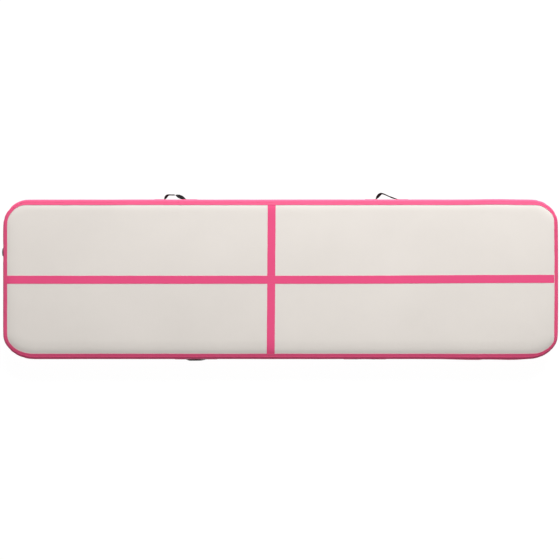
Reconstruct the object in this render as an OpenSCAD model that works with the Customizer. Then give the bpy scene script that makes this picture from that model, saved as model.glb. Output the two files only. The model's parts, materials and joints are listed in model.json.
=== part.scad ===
// Inflatable tumbling mat: drop-stitch air chamber with a double side wall,
// line tapes on the top, four webbing hand straps and a push-to-release air valve.
// Frame: origin at the centre of the bottom face, +X along the mat, +Z up, valve on the -X end.

/* [Mat] */
// Length over the side wall
mat_length = 3500; // [2000:50:6000]
// Width over the side wall
mat_width = 1000; // [800:50:2000]
// Height from the bottom face to the top face
mat_height = 100; // [80:5:200]
// Plan radius of the corners
corner_radius = 170; // [120:5:300]
// How far in from the side wall the rounded shoulder reaches
shoulder_run = 60; // [40:1:90]
// How far down from the face the rounded shoulder reaches
shoulder_rise = 20; // [12:1:30]

/* [Skins] */
// Thickness of the top and bottom drop-stitch sheets
sheet_t = 0.9; // [0.6:0.1:2]
// Thickness of a plain coated strip or patch
strip_t = 0.9; // [0.5:0.1:1.5]
// Spacing of the threads that tie the two sheets
thread_pitch = 140; // [80:10:300]
// Radius of a thread bundle
thread_r = 1; // [0.5:0.1:2]

/* [Line tapes] */
// Width of the tapes on the top face
line_w = 50; // [30:1:80]
// Where the cross tape lies along the mat
cross_x = -58; // [-400:1:400]

/* [Straps] */
// Width of the webbing
web_w = 25; // [20:1:50]
// Thickness of the webbing
web_t = 1.8; // [1:0.1:3]
// Length of webbing welded flat under each patch
tail_length = 60; // [40:1:80]
// Length of a strap patch
patch_length = 70; // [60:1:100]
// Height of a strap patch
patch_height = 56; // [40:1:58]
// Where the rear left strap is centred
rear_left_x = -663; // [-1200:1:-200]
// Where the rear right strap is centred
rear_right_x = 673; // [200:1:1200]
// Where the front left strap is centred
front_left_x = -535; // [-1200:1:-200]
// Where the front right strap is centred
front_right_x = 535; // [200:1:1200]

/* [Valve] */
// Where the valve sits across the end wall
valve_y = 172; // [-250:1:250]
// Radius of the outer flange
flange_r = 28.5; // [24:0.5:32]
// Radius of the socket that the cap and a pump nozzle enter
socket_r = 14; // [12:0.1:16]
// Radius of the air passage behind the socket
passage_r = 13.5; // [11:0.1:15]
// Outside radius of the threaded neck
neck_r = 17; // [16:0.1:20]
// Radius of the cap's head
cap_r = 25.5; // [20:0.5:28]

/* [Hidden] */
$fn = 96;
t_step = 10;
sheet_end = 30;
cover_end = 40;
band_end = 60;
inner_end = 80;
cx = mat_length / 2 - corner_radius;
cy = mat_width / 2 - corner_radius;
mid_z = mat_height / 2;
face_out = 2 * strip_t;
side_y = mat_width / 2 + face_out;
end_x = mat_length / 2 + face_out;
flat_h = mat_height - 2 * shoulder_rise;
joint_gap = 0.4;
hinge_off = 14;
leg_start = 12;
stub_top = 13;
arch_steps = 24;
wall_t = 2 * strip_t + sheet_t + strip_t;

pink = [0.86, 0.32, 0.47];
white = [0.88, 0.86, 0.83];
black = [0.06, 0.06, 0.07];
grey = [0.45, 0.40, 0.43];

// ---- shoulder section: x is the plan radius from a corner centre, y is the height ----

function shoulder_n(t) =
  let (nr = shoulder_rise * cos(t), nz = shoulder_run * sin(t), n = norm([nr, nz]))
  [nr / n, nz / n];

function shoulder_pt(t, off) =
  [corner_radius - shoulder_run * (1 - cos(t)) + off * shoulder_n(t)[0],
   mat_height - shoulder_rise * (1 - sin(t)) + off * shoulder_n(t)[1]];

function flip_z(p) = [p[0], mat_height - p[1]];

// A layer that wraps the side wall, from angle t_end of the upper shoulder to the lower one.
function wrap_side(t_end, off) = concat(
  [for (t = [t_end : -t_step : 0]) shoulder_pt(t, off)],
  [for (t = [0 : t_step : t_end]) flip_z(shoulder_pt(t, off))]
);

function reversed(v) = [for (i = [len(v) - 1 : -1 : 0]) v[i]];

module wrap_section(t_end, off_in, off_out) {
  polygon(concat(wrap_side(t_end, off_out), reversed(wrap_side(t_end, off_in))));
}

// The shoulder part of a face sheet, from the flat down to its cut edge.
module sheet_section() {
  outer = [for (t = [90 : -t_step : sheet_end]) shoulder_pt(t, 0)];
  inner = [for (t = [90 : -t_step : sheet_end]) shoulder_pt(t, -sheet_t)];
  polygon(concat(outer, reversed(inner)));
}

// Sweeps a section round the mat: four straight runs and four quarter-turn corners.
module sweep_round() {
  for (i = [0 : 3]) {
    long_side = i % 2 == 1;
    run = long_side ? cx : cy;
    out = long_side ? cy : cx;
    rotate([0, 0, 90 * i]) translate([out, run, 0]) rotate([90, 0, 0])
      linear_extrude(2 * run) children();
    rotate([0, 0, 90 * i]) translate([out, run, 0])
      rotate_extrude(angle = 90) children();
  }
}

module rounded_plate(length, width, r, t) {
  linear_extrude(t) {
    square([length - 2 * r, width], center = true);
    square([length, width - 2 * r], center = true);
    for (sx = [-1, 1], sy = [-1, 1])
      translate([sx * (length / 2 - r), sy * (width / 2 - r)]) circle(r);
  }
}

module face_sheet() {
  union() {
    translate([0, 0, mat_height - sheet_t])
      rounded_plate(mat_length - 2 * shoulder_run, mat_width - 2 * shoulder_run,
                    corner_radius - shoulder_run, sheet_t);
    sweep_round() sheet_section();
  }
}

module turned_over() {
  translate([0, 0, mat_height]) mirror([0, 0, 1]) children();
}

// ---- air chamber ----

module top_sheet() {
  color(white) face_sheet();
}

module bottom_sheet() {
  color(white) turned_over() face_sheet();
}

module drop_stitch_threads() {
  nx = floor((mat_length - 2 * corner_radius) / thread_pitch);
  ny = floor((mat_width - 2 * corner_radius) / thread_pitch) + 1;
  color(white)
    for (i = [0 : nx], j = [0 : ny])
      translate([(i - nx / 2) * thread_pitch, (j - ny / 2) * thread_pitch, sheet_t])
        cylinder(h = mat_height - 2 * sheet_t, r = thread_r, $fn = 6);
}

module valve_hole() {
  translate([-end_x - 5, valve_y, mid_z]) rotate([0, 90, 0])
    cylinder(h = 20, r = neck_r + 1.3);
}

module inner_side_wall() {
  color(pink) difference() {
    sweep_round() wrap_section(inner_end, -sheet_t - strip_t, -sheet_t);
    valve_hole();
  }
}

module side_wall() {
  color(pink) difference() {
    sweep_round() wrap_section(sheet_end, -sheet_t, 0);
    valve_hole();
  }
}

module edge_band() {
  color(pink) difference() {
    sweep_round() wrap_section(band_end, 0, strip_t);
    valve_hole();
  }
}

module side_cover_strip() {
  color(pink) difference() {
    sweep_round() wrap_section(cover_end, strip_t, 2 * strip_t);
    valve_hole();
  }
}

// Patch over the lap where the two ends of the side strip meet.
module wall_joint_cover() {
  color(pink) translate([end_x, 0, mid_z]) rotate([90, 0, 90])
    rounded_plate(60, flat_h - 2, 6, strip_t);
}

// ---- line tapes ----

// Section of a tape that lies on the top face and runs down both shoulders to the edge band.
module line_section(half_run) {
  right_out = [for (t = [90 : -t_step : band_end]) shoulder_pt(t, strip_t)];
  right_in = [for (t = [90 : -t_step : band_end]) shoulder_pt(t, 0)];
  polygon(concat(
    [for (p = right_out) [half_run + p[0], p[1]]],
    [for (p = reversed(right_in)) [half_run + p[0], p[1]]],
    [for (p = right_in) [-half_run - p[0], p[1]]],
    [for (p = reversed(right_out)) [-half_run - p[0], p[1]]]
  ));
}

module centre_stripe() {
  color(pink) translate([0, line_w / 2, 0]) rotate([90, 0, 0])
    linear_extrude(line_w) line_section(cx);
}

module cross_stripe() {
  color(pink) difference() {
    translate([cross_x - line_w / 2, 0, 0]) rotate([90, 0, 90])
      linear_extrude(line_w) line_section(cy);
    translate([cross_x - line_w, -line_w / 2, mat_height - 1])
      cube([2 * line_w, line_w, 5]);
  }
}

// ---- straps: x runs along the wall, y is the distance out from it ----

function sign_pow(v, e) = sign(v) * pow(abs(v), e);

// A rounded arch: half span, height, squareness and lean of its top.
function arch_pt(a, shape) =
  let (y = shape[1] * pow(sin(a), 2 / shape[2]))
  [-shape[0] * sign_pow(cos(a), 2 / shape[2]) + shape[3] * y / shape[1], y];

function arch_start(y, shape) = asin(pow(y / shape[1], shape[2] / 2));

function arch_path(y, shape) =
  let (a = arch_start(y, shape))
  [for (i = [0 : arch_steps]) arch_pt(a + (180 - 2 * a) * i / arch_steps, shape)];

function unit(v) = v / norm(v);

function path_dir(path, i) =
  i == 0 ? unit(path[1] - path[0]) :
  i == len(path) - 1 ? unit(path[i] - path[i - 1]) :
  unit(unit(path[i] - path[i - 1]) + unit(path[i + 1] - path[i]));

function path_miter(path, i) =
  i == 0 || i == len(path) - 1 ? 1 :
  1 / (path_dir(path, i) * unit(path[i + 1] - path[i]));

function path_side(path, off) =
  [for (i = [0 : len(path) - 1])
    let (d = path_dir(path, i))
    path[i] + off * path_miter(path, i) * [-d[1], d[0]]];

// Webbing that follows a path, standing on its edge.
module webbing(path) {
  translate([0, 0, mid_z - web_w / 2]) linear_extrude(web_w)
    polygon(concat(path_side(path, web_t / 2), reversed(path_side(path, -web_t / 2))));
}

module on_rear(x) {
  translate([x, side_y, 0]) children();
}

module on_front(x) {
  translate([x, -side_y, 0]) mirror([0, 1, 0]) children();
}

rear_left_arch = [67.5, 37, 2, -14];
rear_right_arch = [69, 48.5, 1.2, -28];
front_left_arch = [66.5, 11, 3, 0];
front_right_arch = [66.5, 7.5, 3, 0];
front_start = 1.9;

// A standing strap leaves the wall by a short stub; the swinging loop starts beside it.
function stub_path(shape, side) =
  let (p = arch_pt(arch_start(leg_start, shape), shape),
       q = arch_pt(180 - arch_start(leg_start, shape), shape),
       leg = side < 0 ? p[0] : q[0],
       foot = side * (shape[0] + web_t),
       out = side * max(side * leg + web_t + joint_gap, 0))
  [[out, stub_top], [abs(foot) > abs(out) ? foot : out + side, web_t / 2],
   [foot + side * tail_length, web_t / 2]];

module standing_tails(shape) {
  for (side = [-1, 1]) webbing(side < 0 ? stub_path(shape, side) : reversed(stub_path(shape, side)));
}

module standing_loop(shape) {
  webbing(arch_path(leg_start, shape));
}

// A hanging strap lies nearly flat; its loop lifts from its upper edge.
module hanging_loop(shape) {
  webbing(arch_path(front_start, shape));
}

module hanging_tails(shape) {
  foot = shape[0] + web_t / 2 + joint_gap;
  for (side = [-1, 1])
    webbing(side < 0 ? [[-foot - tail_length, web_t / 2], [-foot, web_t / 2]]
                     : [[foot, web_t / 2], [foot + tail_length, web_t / 2]]);
}

// Patch welded over a tail: flat round its border and raised over the webbing.
module strap_patch(shape, side) {
  start = side * (shape[0] + web_t + 4);
  low = side < 0 ? start - patch_length : start;
  half = patch_height / 2;
  over = web_t + strip_t;
  difference() {
    translate([low, 0, mid_z]) rotate([90, 0, 90]) linear_extrude(patch_length)
      polygon([[0, -half], [strip_t, -half], [strip_t, -web_w / 2 - 2], [over, -web_w / 2],
               [over, web_w / 2], [strip_t, web_w / 2 + 2], [strip_t, half], [0, half]]);
    translate([low - 1, -1, mid_z - web_w / 2])
      cube([patch_length + 2, 1 + web_t, web_w]);
  }
}

module rear_left_strap() {
  color(black) on_rear(rear_left_x) standing_loop(rear_left_arch);
}

module rear_left_tails() {
  color(black) on_rear(rear_left_x) standing_tails(rear_left_arch);
}

module rear_left_patch_a() {
  color(pink) on_rear(rear_left_x) strap_patch(rear_left_arch, -1);
}

module rear_left_patch_b() {
  color(pink) on_rear(rear_left_x) strap_patch(rear_left_arch, 1);
}

module rear_right_strap() {
  color(black) on_rear(rear_right_x) standing_loop(rear_right_arch);
}

module rear_right_tails() {
  color(black) on_rear(rear_right_x) standing_tails(rear_right_arch);
}

module rear_right_patch_a() {
  color(pink) on_rear(rear_right_x) strap_patch(rear_right_arch, -1);
}

module rear_right_patch_b() {
  color(pink) on_rear(rear_right_x) strap_patch(rear_right_arch, 1);
}

module front_left_strap() {
  color(black) on_front(front_left_x) hanging_loop(front_left_arch);
}

module front_left_tails() {
  color(black) on_front(front_left_x) hanging_tails(front_left_arch);
}

module front_left_patch_a() {
  color(pink) on_front(front_left_x) strap_patch(front_left_arch, -1);
}

module front_left_patch_b() {
  color(pink) on_front(front_left_x) strap_patch(front_left_arch, 1);
}

module front_right_strap() {
  color(black) on_front(front_right_x) hanging_loop(front_right_arch);
}

module front_right_tails() {
  color(black) on_front(front_right_x) hanging_tails(front_right_arch);
}

module front_right_patch_a() {
  color(pink) on_front(front_right_x) strap_patch(front_right_arch, -1);
}

module front_right_patch_b() {
  color(pink) on_front(front_right_x) strap_patch(front_right_arch, 1);
}

// ---- valve: z runs outward from the side cover strip, x is up the wall ----

gasket_t = 1.2;
flange_in = strip_t + gasket_t;
flange_out = flange_in + 3;
socket_end = -3;
neck_end = -24;
nut_t = 7;
thread_h = 1;
thread_step = 2.5;
collar_r = 20.9;
collar_out = flange_out + 2.5;
cap_in = flange_out + 0.05;
cap_out = 12;
skirt_r = 23.5;
skirt_in_r = collar_r + 0.6;
seal_t = 0.95;
disc_in = collar_out + 0.05 + seal_t;
lip_in = 7;
leash_in = flange_out + 0.2;
leash_t = 1.5;
leash_w = 12;
ear_t = 2.4;
ear_r = 2;
leash_ring_r = 27;
leash_axis_x = 30.4;
leash_axis_z = leash_in + leash_t / 2;
button_r = 7;
button_out = -3.5;
button_t = 2;
stem_r = 2.6;
pin_r = 2.1;
hub_out = -15.5;
hub_t = 4;
hub_r = 6;
arm_w = 2.5;
run_gap = 0.05;
disc_r = 15.5;
disc_t = 2.5;
disc_out = neck_end - run_gap;
retainer_t = 1.5;
spring_r = 4.6;
wire_t = 0.9;
spring_turns = 4;

module on_valve() {
  translate([-end_x, valve_y, mid_z]) rotate([0, -90, 0]) children();
}

module ring(r_out, r_in, z0, z1) {
  translate([0, 0, z0]) difference() {
    cylinder(h = z1 - z0, r = r_out);
    translate([0, 0, -1]) cylinder(h = z1 - z0 + 2, r = r_in);
  }
}

module valve_patch() {
  color(pink) on_valve() difference() {
    rounded_plate(flat_h - 2, 110, 12, strip_t);
    translate([0, 0, -1]) cylinder(h = strip_t + 2, r = neck_r + 1.3);
  }
}

module valve_gasket() {
  color(black) on_valve() ring(flange_r - 0.5, neck_r + 1.1, strip_t, flange_in);
}

// Flange, collar, socket, threaded neck and the three-armed guide that carries the stem.
module valve_body() {
  color(grey) on_valve() union() {
    rotate_extrude() polygon([
      [socket_r, collar_out], [collar_r - 0.6, collar_out], [collar_r, collar_out - 0.6],
      [collar_r, flange_out], [flange_r - 1.5, flange_out], [flange_r, flange_out - 1],
      [flange_r, flange_in], [neck_r, flange_in], [neck_r, neck_end],
      [passage_r - 1, neck_end], [passage_r - 1, neck_end + 1.5], [passage_r, neck_end + 2.5],
      [passage_r, socket_end], [socket_r, socket_end]
    ]);
    for (i = [0 : 6])
      rotate_extrude() translate([neck_r, -wall_t - thread_h - i * thread_step])
        polygon([[-0.5, -thread_h], [0, -thread_h], [thread_h, -0.2],
                 [thread_h, 0.2], [0, thread_h], [-0.5, thread_h]]);
    ring(hub_r, stem_r + run_gap, hub_out - hub_t, hub_out);
    for (a = [0, 120, 240]) rotate([0, 0, a])
      translate([hub_r - 0.5, -arm_w / 2, hub_out - hub_t])
        cube([passage_r - hub_r + 1, arm_w, hub_t]);
    translate([flange_r - 6, -leash_w / 2 - ear_t, flange_in])
      cube([leash_axis_x + ear_r - flange_r + 6, leash_w + 2 * ear_t, flange_out - flange_in]);
    for (side = [-1, 1]) leash_ear(side);
  }
}

// One of the two ears that carry the leash's hinge pin.
module leash_ear(side) {
  low = side < 0 ? -leash_w / 2 - ear_t : leash_w / 2;
  difference() {
    union() {
      translate([leash_axis_x - ear_r, low, flange_in])
        cube([2 * ear_r, ear_t, leash_axis_z - flange_in]);
      translate([leash_axis_x, low + ear_t, leash_axis_z]) rotate([90, 0, 0])
        cylinder(h = ear_t, r = ear_r);
    }
    translate([leash_axis_x, low + ear_t + 1, leash_axis_z]) rotate([90, 0, 0])
      cylinder(h = ear_t + 2, r = leash_t / 2 + run_gap);
  }
}

module valve_nut() {
  color(grey) on_valve() difference() {
    ring(flange_r, neck_r + thread_h + run_gap, -wall_t - nut_t, -wall_t);
    for (a = [0 : 30 : 330]) rotate([0, 0, a])
      translate([flange_r + 1, 0, -wall_t - nut_t - 1]) cylinder(h = nut_t + 2, r = 3);
  }
}

module valve_spring() {
  length = button_out - button_t - hub_out - 0.2;
  arc = 360 * wire_t * spring_turns / (length - wire_t);
  steps = 8;
  color([0.75, 0.75, 0.77]) on_valve()
    translate([0, 0, hub_out + 0.1])
      linear_extrude(height = length, twist = -360 * spring_turns, slices = 20 * spring_turns, $fn = 16)
        polygon(concat(
          [for (i = [0 : steps]) (spring_r + wire_t / 2) * [cos(arc * i / steps), sin(arc * i / steps)]],
          [for (i = [steps : -1 : 0]) (spring_r - wire_t / 2) * [cos(arc * i / steps), sin(arc * i / steps)]]
        ));
}

module valve_diaphragm() {
  color(black) on_valve() ring(disc_r, pin_r + run_gap, disc_out - disc_t, disc_out);
}

module valve_stem() {
  step_z = disc_out + 0.15;
  end_z = disc_out - disc_t - retainer_t - 1;
  color(grey) on_valve() rotate_extrude() polygon([
    [0, button_out], [button_r - 1, button_out], [button_r, button_out - 1],
    [button_r, button_out - button_t], [stem_r, button_out - button_t], [stem_r, step_z],
    [pin_r, step_z], [pin_r, end_z], [0, end_z]
  ]);
}

module stem_retainer() {
  z1 = disc_out - disc_t - run_gap;
  color(grey) on_valve() ring(5, pin_r, z1 - retainer_t, z1);
}

module cap_leash() {
  color(grey) on_valve() union() {
    ring(leash_ring_r, skirt_r + 0.1, leash_in, leash_in + leash_t);
    translate([leash_ring_r - 1.5, -leash_w / 2 + 0.5, leash_in])
      cube([leash_axis_x - leash_ring_r + 1.5, leash_w - 1, leash_t]);
    translate([leash_axis_x, leash_w / 2 + ear_t, leash_axis_z]) rotate([90, 0, 0])
      cylinder(h = leash_w + 2 * ear_t, r = leash_t / 2);
  }
}

// The skirt closes over the collar; a finger bar crosses the head.
module valve_cap() {
  color(grey) on_valve() difference() {
    union() {
      rotate_extrude() polygon([
        [0, cap_out - 1.6], [cap_r - 9, cap_out - 1.6], [cap_r - 3.5, cap_out - 2.2],
        [cap_r, cap_out - 3.4], [cap_r, lip_in], [skirt_r, lip_in], [skirt_r, cap_in],
        [skirt_in_r, cap_in], [skirt_in_r, disc_in], [0, disc_in]
      ]);
      translate([-cap_r + 6, -2, cap_out - 2.6]) cube([2 * cap_r - 12, 4, 2.6]);
    }
    for (a = [0 : 15 : 345]) rotate([0, 0, a])
      translate([cap_r + 0.6, 0, lip_in - 1]) cylinder(h = 8, r = 1.2);
  }
}

module cap_seal() {
  color(black) on_valve() ring(collar_r - 0.4, socket_r + 0.5, disc_in - seal_t, disc_in);
}

top_sheet();
bottom_sheet();
drop_stitch_threads();
inner_side_wall();
side_wall();
edge_band();
side_cover_strip();
wall_joint_cover();
centre_stripe();
cross_stripe();
rear_left_strap();
rear_left_tails();
rear_left_patch_a();
rear_left_patch_b();
rear_right_strap();
rear_right_tails();
rear_right_patch_a();
rear_right_patch_b();
front_left_strap();
front_left_tails();
front_left_patch_a();
front_left_patch_b();
front_right_strap();
front_right_tails();
front_right_patch_a();
front_right_patch_b();
valve_patch();
valve_gasket();
valve_body();
valve_nut();
valve_spring();
valve_diaphragm();
valve_stem();
stem_retainer();
cap_leash();
valve_cap();
cap_seal();
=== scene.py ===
import json
import math

import bpy
import numpy as np
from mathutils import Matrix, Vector, noise
from mathutils.geometry import delaunay_2d_cdt


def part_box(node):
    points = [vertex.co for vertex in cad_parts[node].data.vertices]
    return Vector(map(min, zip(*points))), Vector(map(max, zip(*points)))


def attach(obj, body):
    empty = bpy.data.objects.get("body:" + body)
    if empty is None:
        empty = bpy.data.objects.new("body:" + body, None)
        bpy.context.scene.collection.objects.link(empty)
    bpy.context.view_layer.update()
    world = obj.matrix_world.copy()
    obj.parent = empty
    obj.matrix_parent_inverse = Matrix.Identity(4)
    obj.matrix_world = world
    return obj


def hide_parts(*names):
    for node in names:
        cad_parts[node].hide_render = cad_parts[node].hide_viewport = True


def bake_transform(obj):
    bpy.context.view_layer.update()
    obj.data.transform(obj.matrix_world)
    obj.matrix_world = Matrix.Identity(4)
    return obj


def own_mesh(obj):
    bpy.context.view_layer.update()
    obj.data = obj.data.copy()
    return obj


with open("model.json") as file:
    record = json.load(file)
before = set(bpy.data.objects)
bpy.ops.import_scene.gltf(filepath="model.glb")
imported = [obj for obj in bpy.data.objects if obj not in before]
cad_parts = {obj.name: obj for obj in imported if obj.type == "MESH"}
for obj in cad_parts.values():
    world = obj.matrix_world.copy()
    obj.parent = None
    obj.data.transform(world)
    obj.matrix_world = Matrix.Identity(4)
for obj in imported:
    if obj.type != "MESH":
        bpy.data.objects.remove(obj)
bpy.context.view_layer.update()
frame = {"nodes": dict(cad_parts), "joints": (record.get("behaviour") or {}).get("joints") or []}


# ---- sizes: the frame gives the places, and the rest are the mat's own ----

def mid(name):
    lo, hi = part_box(name)
    return (lo + hi) / 2


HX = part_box("side_wall")[1].x
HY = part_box("side_wall")[1].y
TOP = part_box("top_sheet")[1].z
MID_Z = TOP / 2
CORNERS = ((0.168, 0.152), (0.160, 0.169), (0.196, 0.156), (0.188, 0.150))
MEAN_CORNER = 0.172
SHOULDER_RUN = 0.060
SHOULDER_DROP = 0.020
STRIP = 0.0009
SKIN = STRIP * 0.94
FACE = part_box("side_cover_strip")[1].y - HY
LINE_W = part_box("centre_stripe")[1].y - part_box("centre_stripe")[0].y
CROSS_X = mid("cross_stripe").x
WEB_W = 0.025
WEB_T = 0.0018
VALVE = Vector((-HX - FACE, mid("valve_body").y, MID_Z))
BULGE = 0.004
NECK_HOLE = 0.0183


def smooth(a, b, x):
    t = np.clip((x - a) / (b - a), 0, 1)
    return t * t * (3 - 2 * t)


def wobble(x, y, seed):
    return noise.noise(Vector((x, y, seed)))


# ---- materials ----

def new_material(name):
    m = bpy.data.materials.new(name)
    m.use_nodes = True
    tree = m.node_tree
    tree.nodes.clear()
    out = tree.nodes.new("ShaderNodeOutputMaterial")
    bsdf = tree.nodes.new("ShaderNodeBsdfPrincipled")
    tree.links.new(bsdf.outputs[0], out.inputs[0])
    return m, tree, bsdf


def node(tree, kind, **values):
    n = tree.nodes.new(kind)
    for key, value in values.items():
        if hasattr(n, key):
            setattr(n, key, value)
        else:
            n.inputs[key.replace("_", " ")].default_value = value
    return n


def math_node(tree, op, *inputs):
    n = tree.nodes.new("ShaderNodeMath")
    n.operation = op
    for i, v in enumerate(inputs):
        if isinstance(v, (int, float)):
            n.inputs[i].default_value = v
        else:
            tree.links.new(v, n.inputs[i])
    return n.outputs[0]


def ramp(tree, fac, low, high, stops=(0.3, 0.7)):
    n = tree.nodes.new("ShaderNodeValToRGB")
    n.color_ramp.elements[0].position = stops[0]
    n.color_ramp.elements[1].position = stops[1]
    n.color_ramp.elements[0].color = (*low, 1)
    n.color_ramp.elements[1].color = (*high, 1)
    tree.links.new(fac, n.inputs[0])
    return n.outputs[0]


def coords(tree, kind, scale):
    source = tree.nodes.new("ShaderNodeTexCoord")
    mapping = tree.nodes.new("ShaderNodeMapping")
    mapping.inputs["Scale"].default_value = scale
    tree.links.new(source.outputs[kind], mapping.inputs["Vector"])
    return mapping.outputs[0]


def noise_tex(tree, vector, scale, detail=3.0, rough=0.5):
    n = node(tree, "ShaderNodeTexNoise", Scale=scale, Detail=detail, Roughness=rough)
    tree.links.new(vector, n.inputs["Vector"])
    return n.outputs[0]


def wave(tree, vector, axis, period):
    """Sine bands. At scale 1 the period of the texture is 2 pi / 20 units."""
    n = node(tree, "ShaderNodeTexWave", wave_type="BANDS", bands_direction=axis, wave_profile="SIN",
             Scale=math.pi / (10 * period))
    tree.links.new(vector, n.inputs["Vector"])
    return n.outputs["Fac"]


def bump(tree, bsdf, layers):
    """layers: (height output, distance in metres, strength), laid one on another."""
    last = None
    for height, distance, strength in layers:
        b = tree.nodes.new("ShaderNodeBump")
        b.inputs["Distance"].default_value = distance
        b.inputs["Strength"].default_value = strength
        tree.links.new(height, b.inputs["Height"])
        if last is not None:
            tree.links.new(last, b.inputs["Normal"])
        last = b.outputs[0]
    tree.links.new(last, bsdf.inputs["Normal"])


def pvc(name, colour, rough, scrim=0.0011, yarn=0.0, spread=0.04, weld=False, gloss=0.3):
    """Coated fabric: the base cloth shows through as a fine grid, and the welded borders are knurled.
    scrim and yarn are the pitches of the cloth's threads and of the drop-stitch dimples."""
    m, tree, bsdf = new_material(name)
    uv = coords(tree, "UV", (1, 1, 1))
    ob = coords(tree, "Object", (1, 1, 1))
    tone = noise_tex(tree, ob, 2.2, 4.0, 0.55)
    low = tuple(c * (1 - spread) for c in colour)
    high = tuple(min(1, c * (1 + spread * 0.6)) for c in colour)
    tree.links.new(ramp(tree, tone, low, high), bsdf.inputs["Base Color"])
    scuff = noise_tex(tree, ob, 38.0, 6.0, 0.62)
    tree.links.new(math_node(tree, "MULTIPLY_ADD", scuff, 0.16, rough - 0.08), bsdf.inputs["Roughness"])
    grid = math_node(tree, "MULTIPLY", wave(tree, uv, "X", scrim), wave(tree, uv, "Y", scrim))
    layers = [(grid, 0.00006, 0.5), (noise_tex(tree, ob, 900.0, 2.0), 0.00005, 0.4)]
    if yarn:
        rows = math_node(tree, "MULTIPLY", wave(tree, uv, "X", yarn), wave(tree, uv, "Y", yarn * 0.8))
        layers.insert(0, (rows, 0.00028, 0.6))
    if weld:
        zone = node(tree, "ShaderNodeAttribute", attribute_name="weld").outputs["Fac"]
        knurl = math_node(tree, "MULTIPLY", wave(tree, uv, "DIAGONAL", 0.0032), wave(tree, uv, "X", 0.0026))
        layers.append((math_node(tree, "MULTIPLY", knurl, zone), 0.00025, 0.8))
    bump(tree, bsdf, layers)
    bsdf.inputs["IOR"].default_value = 1.5
    bsdf.inputs["Specular IOR Level"].default_value = gloss
    return m


def webbing_material(name):
    m, tree, bsdf = new_material(name)
    uv = coords(tree, "UV", (1, 1, 1))
    across = wave(tree, uv, "X", 0.0016)
    along = wave(tree, uv, "Y", 0.0024)
    rib = math_node(tree, "MULTIPLY", across, along)
    fuzz = noise_tex(tree, coords(tree, "Object", (1, 1, 1)), 1500.0, 3.0, 0.7)
    shade = math_node(tree, "ADD", rib, math_node(tree, "MULTIPLY", fuzz, 0.4))
    black = ramp(tree, shade, (0.002, 0.002, 0.0022), (0.013, 0.013, 0.014), (0.2, 1.1))
    tree.links.new(black, bsdf.inputs["Base Color"])
    bsdf.inputs["Roughness"].default_value = 0.78
    bsdf.inputs["Specular IOR Level"].default_value = 0.2
    bsdf.inputs["Sheen Weight"].default_value = 0.04
    bsdf.inputs["Sheen Roughness"].default_value = 0.5
    bump(tree, bsdf, [(rib, 0.0005, 0.9), (fuzz, 0.0001, 0.5)])
    return m


def moulded(name, colour, rough, grain=0.00004, metallic=0.0):
    """Moulded plastic or rubber, or drawn wire: a fine all-over grain."""
    m, tree, bsdf = new_material(name)
    ob = coords(tree, "Object", (1, 1, 1))
    tone = noise_tex(tree, ob, 60.0, 4.0, 0.6)
    tree.links.new(ramp(tree, tone, tuple(c * 0.88 for c in colour), tuple(c * 1.08 for c in colour)),
                 bsdf.inputs["Base Color"])
    fine = noise_tex(tree, ob, 1400.0, 3.0, 0.6)
    tree.links.new(math_node(tree, "MULTIPLY_ADD", tone, 0.14, rough - 0.07), bsdf.inputs["Roughness"])
    bump(tree, bsdf, [(fine, grain, 0.6)])
    bsdf.inputs["Metallic"].default_value = metallic
    return m


M_TOP = pvc("top_pvc", (0.745, 0.700, 0.655), 0.66, yarn=0.0075, spread=0.025, gloss=0.08)
M_BASE = pvc("base_pvc", (0.42, 0.42, 0.415), 0.62, scrim=0.0016, yarn=0.0075)
M_SIDE = pvc("side_pvc", (0.785, 0.092, 0.222), 0.48, weld=True)
M_PATCH = pvc("patch_pvc", (0.68, 0.070, 0.178), 0.42, weld=True)
M_LINE = pvc("line_pvc", (0.80, 0.087, 0.228), 0.62, gloss=0.09)
M_CORE = pvc("core_pvc", (0.66, 0.10, 0.20), 0.55)
M_YARN = pvc("yarn", (0.72, 0.71, 0.68), 0.85, scrim=0.0007)
M_WEB = webbing_material("webbing")
M_VALVE = moulded("valve_plastic", (0.125, 0.105, 0.118), 0.42)
M_SEAL = moulded("seal_rubber", (0.022, 0.022, 0.023), 0.72, 0.00008)
M_STEEL = moulded("spring_steel", (0.56, 0.56, 0.58), 0.30, 0.00002, 1.0)


# ---- mesh helpers ----

def make(name, verts, faces, material, uvs=None, flat=False, weld=None, around=0.0):
    """around is the length of a closed strip of quads, whose u starts again at its joint."""
    mesh = bpy.data.meshes.new(name)
    mesh.from_pydata([tuple(map(float, v)) for v in verts], [], faces)
    if uvs is not None:
        layer = mesh.uv_layers.new(name="UVMap")
        loop_uv = np.array([uvs[i] for f in faces for i in f], np.float32)
        if around:
            u = loop_uv[:, 0].reshape(-1, 4)
            u += around * (u < u.max(1, keepdims=True) - around / 2)
        layer.data.foreach_set("uv", loop_uv.ravel())
    if weld is not None:
        zone = mesh.attributes.new("weld", "FLOAT", "POINT")
        zone.data.foreach_set("value", np.asarray(weld, np.float32).ravel())
    mesh.polygons.foreach_set("use_smooth", [not flat] * len(mesh.polygons))
    mesh.materials.append(material)
    mesh.validate()
    o = bpy.data.objects.new(name, mesh)
    bpy.context.scene.collection.objects.link(o)
    return o


def grid_faces(nu, nv, loop_u=False, loop_v=False):
    out = []
    for i in range(nu if loop_u else nu - 1):
        for j in range(nv if loop_v else nv - 1):
            a, b = i * nv, ((i + 1) % nu) * nv
            k = (j + 1) % nv
            out.append((a + j, b + j, b + k, a + k))
    return out


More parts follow.
